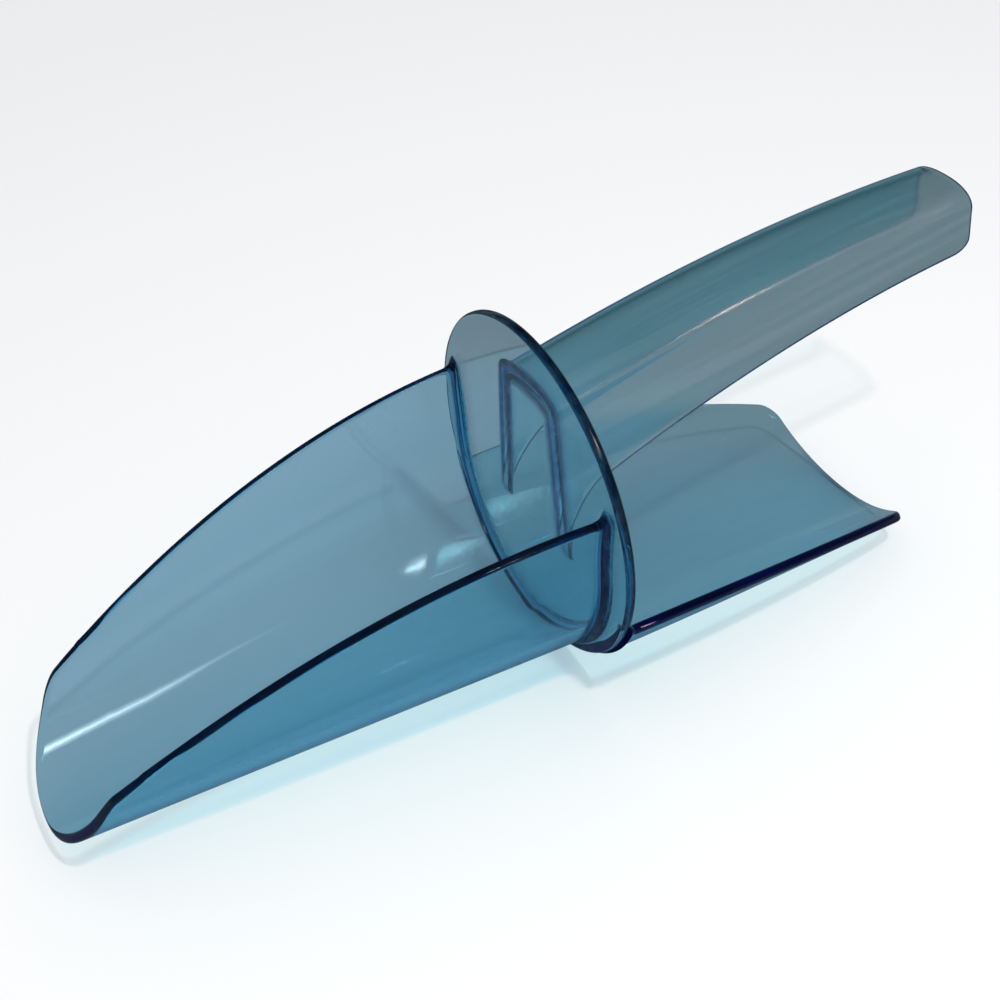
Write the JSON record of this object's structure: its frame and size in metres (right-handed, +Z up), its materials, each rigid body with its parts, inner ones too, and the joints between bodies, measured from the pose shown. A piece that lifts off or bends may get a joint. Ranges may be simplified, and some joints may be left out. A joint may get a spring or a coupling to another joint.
{
  "type": "ice scoop",
  "caption": "Hand scoop of clear tinted plastic: tapering U-shaped bowl, round guard disc, channel handle and curved knuckle guard behind the disc.",
  "frame": {"origin": "on the resting plane, under the middle of the scoop's length, 5.6 mm in front of the guard disc's front face", "axes": "+X along the scoop from the bowl's lip to the handle's end, +Y to the left when looking along +X, +Z up"},
  "size_m": [0.4044, 0.14, 0.1452],
  "materials": {
    "bowl_plastic": "clear tinted, polished, lightly scuffed inside",
    "bowl_collar_plastic": "clear tinted, polished",
    "disc_plastic": "clear tinted, polished",
    "handle_plastic": "clear tinted, slightly dulled by handling",
    "handle_collar_plastic": "clear tinted, polished",
    "guard_plastic": "clear tinted, polished"
  },
  "bodies": {
    "root": {"scoop_bowl": "bowl_plastic", "bowl_collar": "bowl_collar_plastic", "guard_disc": "disc_plastic", "handle_channel": "handle_plastic", "handle_collar": "handle_collar_plastic", "knuckle_guard": "guard_plastic"}
  },
  "joints": []
}
